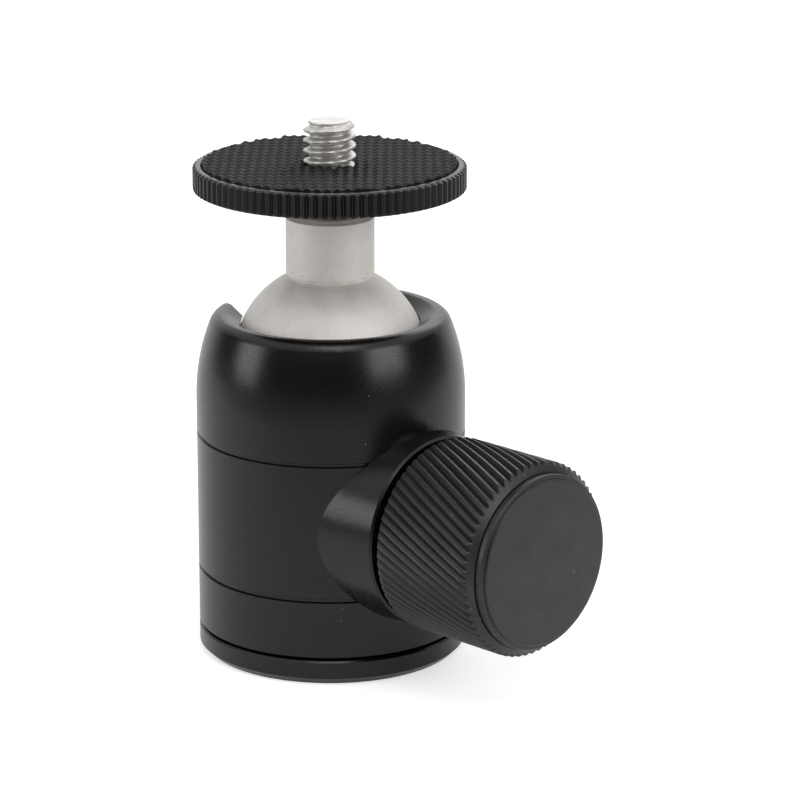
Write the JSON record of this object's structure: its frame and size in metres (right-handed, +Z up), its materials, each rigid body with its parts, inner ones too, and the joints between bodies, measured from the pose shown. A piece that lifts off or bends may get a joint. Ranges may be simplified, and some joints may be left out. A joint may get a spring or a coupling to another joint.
{
  "type": "tripod ball head",
  "caption": "Tripod ball head with a side lock knob, a panning base, a drop notch for portrait tilt and a round rubber-faced camera plate with a threaded stud.",
  "frame": {"origin": "centre of the base's flat underside, on the panning axis", "axes": "+Z up along the panning axis and, at rest, along the stem and camera stud; +X along the lock knob's axis, away from the housing; the drop notch opens towards -X"},
  "size_m": [0.0524, 0.033, 0.066],
  "materials": {
    "black_anodised": "black anodised over fine bead blasting, satin",
    "silver_blasted": "bead-blasted and clear anodised, matt silver",
    "stainless": "turned stainless steel, bright",
    "steel": "zinc-plated steel",
    "pad_rubber": "moulded rubber with a raised cross pattern",
    "brass": "machined",
    "seat_plastic": "natural acetal",
    "black_plastic": "black acetal"
  },
  "bodies": {
    "base": {"base_plate": "black_anodised", "thread_insert": "steel", "pan_retainer": "steel", "retainer_screws": "steel", "pan_washer": "black_plastic"},
    "housing": {"housing": "black_anodised", "ball_ring": "black_plastic", "bottom_plug": "black_anodised", "return_spring": "steel", "lock_bushing": "brass", "knob_collar": "black_anodised", "pan_top_washer": "seat_plastic"},
    "wedge": {"wedge_pin": "steel"},
    "knob": {"knob": "black_anodised", "knob_cap": "black_anodised", "knob_clip": "steel", "lock_screw": "steel"},
    "lifter": {"seat_lifter": "brass"},
    "liner": {"seat_liner": "seat_plastic"},
    "ball": {"ball_stem": "silver_blasted"},
    "platform": {"camera_plate": "black_anodised", "grip_pad": "pad_rubber", "plate_hub": "silver_blasted", "camera_stud": "stainless"}
  },
  "joints": [
    {"name": "pan", "type": "hinge", "parent": "base", "child": "housing", "pos_m": [0, 0, 0], "axis": [0, 0, 1], "continuous": true},
    {"name": "wedge_slide", "type": "slide", "parent": "housing", "child": "wedge", "axis": [1, 0, 0], "range_m": [0, 0.001]},
    {"name": "knob_turn", "type": "hinge", "parent": "wedge", "child": "knob", "pos_m": [0, 0, 0.01862], "axis": [1, 0, 0], "range_deg": [0, 360]},
    {"name": "lifter_slide", "type": "slide", "parent": "housing", "child": "lifter", "axis": [0, 0, 1], "range_m": [-0.0003, 0], "deforming": ["return_spring"]},
    {"name": "ball_roll", "type": "hinge", "parent": "lifter", "child": "liner", "pos_m": [0, 0, 0.03633], "axis": [1, 0, 0], "range_deg": [-28, 28]},
    {"name": "ball_tilt", "type": "hinge", "parent": "liner", "child": "ball", "pos_m": [0, 0, 0.03633], "axis": [0, -1, 0], "range_deg": [-28, 90]},
    {"name": "plate_spin", "type": "hinge", "parent": "ball", "child": "platform", "pos_m": [0, 0, 0.03633], "axis": [0, 0, 1], "continuous": true}
  ],
  "couplings": [
    {"joint": "knob_turn", "follows": "wedge_slide", "rad_per_m": 6283.2},
    {"joint": "lifter_slide", "follows": "wedge_slide", "ratio": -0.3}
  ]
}
